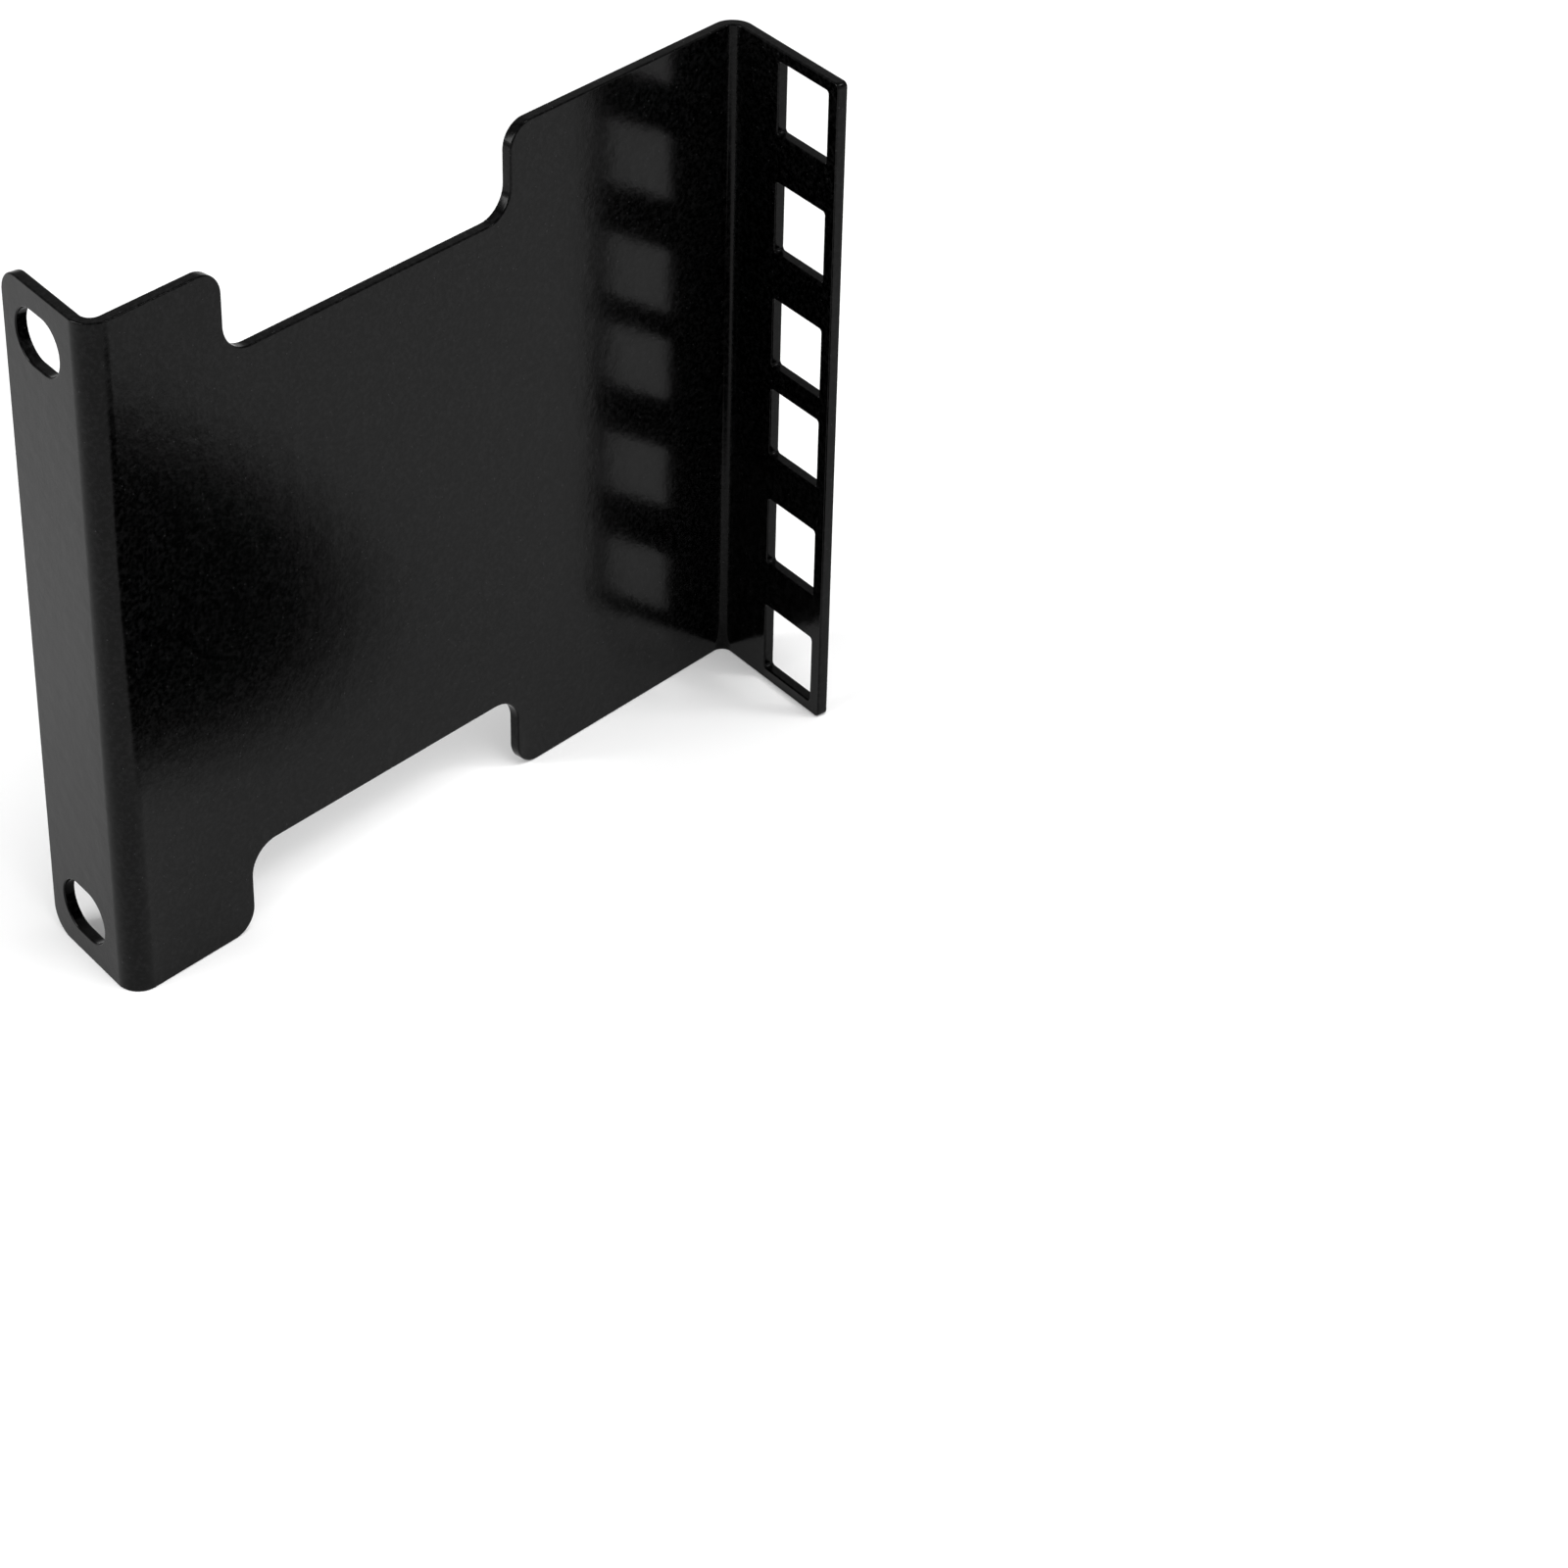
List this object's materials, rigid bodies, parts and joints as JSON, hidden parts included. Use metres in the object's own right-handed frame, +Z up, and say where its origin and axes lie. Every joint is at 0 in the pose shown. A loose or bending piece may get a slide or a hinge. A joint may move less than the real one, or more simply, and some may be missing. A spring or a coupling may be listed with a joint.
{
  "type": "rack depth extender",
  "caption": "Z-shaped sheet-steel bracket that carries a two-unit rack rail deeper: slotted flange, notched web and a flange of square cage-nut holes.",
  "frame": {"origin": "on the ground, under the middle of the bounding box, with the bracket standing on its cut lower end", "axes": "+X along the added depth, from the slot flange to the hole flange; +Z up, along the rails; Y across the rails"},
  "size_m": [0.1016, 0.0214, 0.0889],
  "materials": {
    "coated_steel": "satin black powder coat"
  },
  "bodies": {
    "root": {"extender_bracket": "coated_steel"}
  },
  "joints": []
}
